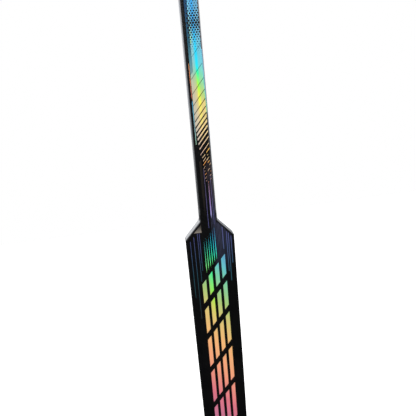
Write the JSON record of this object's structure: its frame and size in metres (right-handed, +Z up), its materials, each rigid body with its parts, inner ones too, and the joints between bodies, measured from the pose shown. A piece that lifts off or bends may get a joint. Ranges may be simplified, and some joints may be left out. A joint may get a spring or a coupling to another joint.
{
  "type": "hockey goalie stick",
  "caption": "Goalkeeper's ice hockey stick: hollow shaft, wide foam-cored paddle with sloped shoulders, curved blade and a pull-out butt plug.",
  "frame": {"origin": "on the shaft's centreline at the neck, where the shaft meets the paddle's shoulders and the hand holds the stick", "axes": "+Z up the shaft to the butt end, +X to the side that the blade's toe is on, -Y out of the front (forehand) face"},
  "size_m": [0.3661, 0.0336, 1.537],
  "materials": {
    "carbon_laminate": "satin clear-coated black carbon-fibre laminate",
    "plug_plastic": "moulded black plastic, fine grain",
    "core_foam": "rigid closed-cell foam, cut faces",
    "glass_fibre": "bare glass-fibre laminate"
  },
  "bodies": {
    "stick": {"shaft_tube": "carbon_laminate", "paddle_front_skin": "carbon_laminate", "paddle_back_skin": "carbon_laminate", "paddle_core_left": "core_foam", "paddle_core_right": "core_foam", "paddle_rail_left": "glass_fibre", "paddle_rail_right": "glass_fibre", "paddle_spine": "glass_fibre", "splice_tongue": "glass_fibre", "blade_front_skin": "carbon_laminate", "blade_back_skin": "carbon_laminate", "blade_core_heel": "core_foam", "blade_core_upper": "core_foam", "blade_core_lower": "core_foam", "blade_bridge": "glass_fibre", "blade_bottom_rail": "glass_fibre"},
    "plug": {"butt_plug": "plug_plastic"}
  },
  "joints": [
    {"name": "plug_pull", "type": "slide", "parent": "stick", "child": "plug", "axis": [0, 0, 1], "range_m": [0, 0.06]}
  ]
}
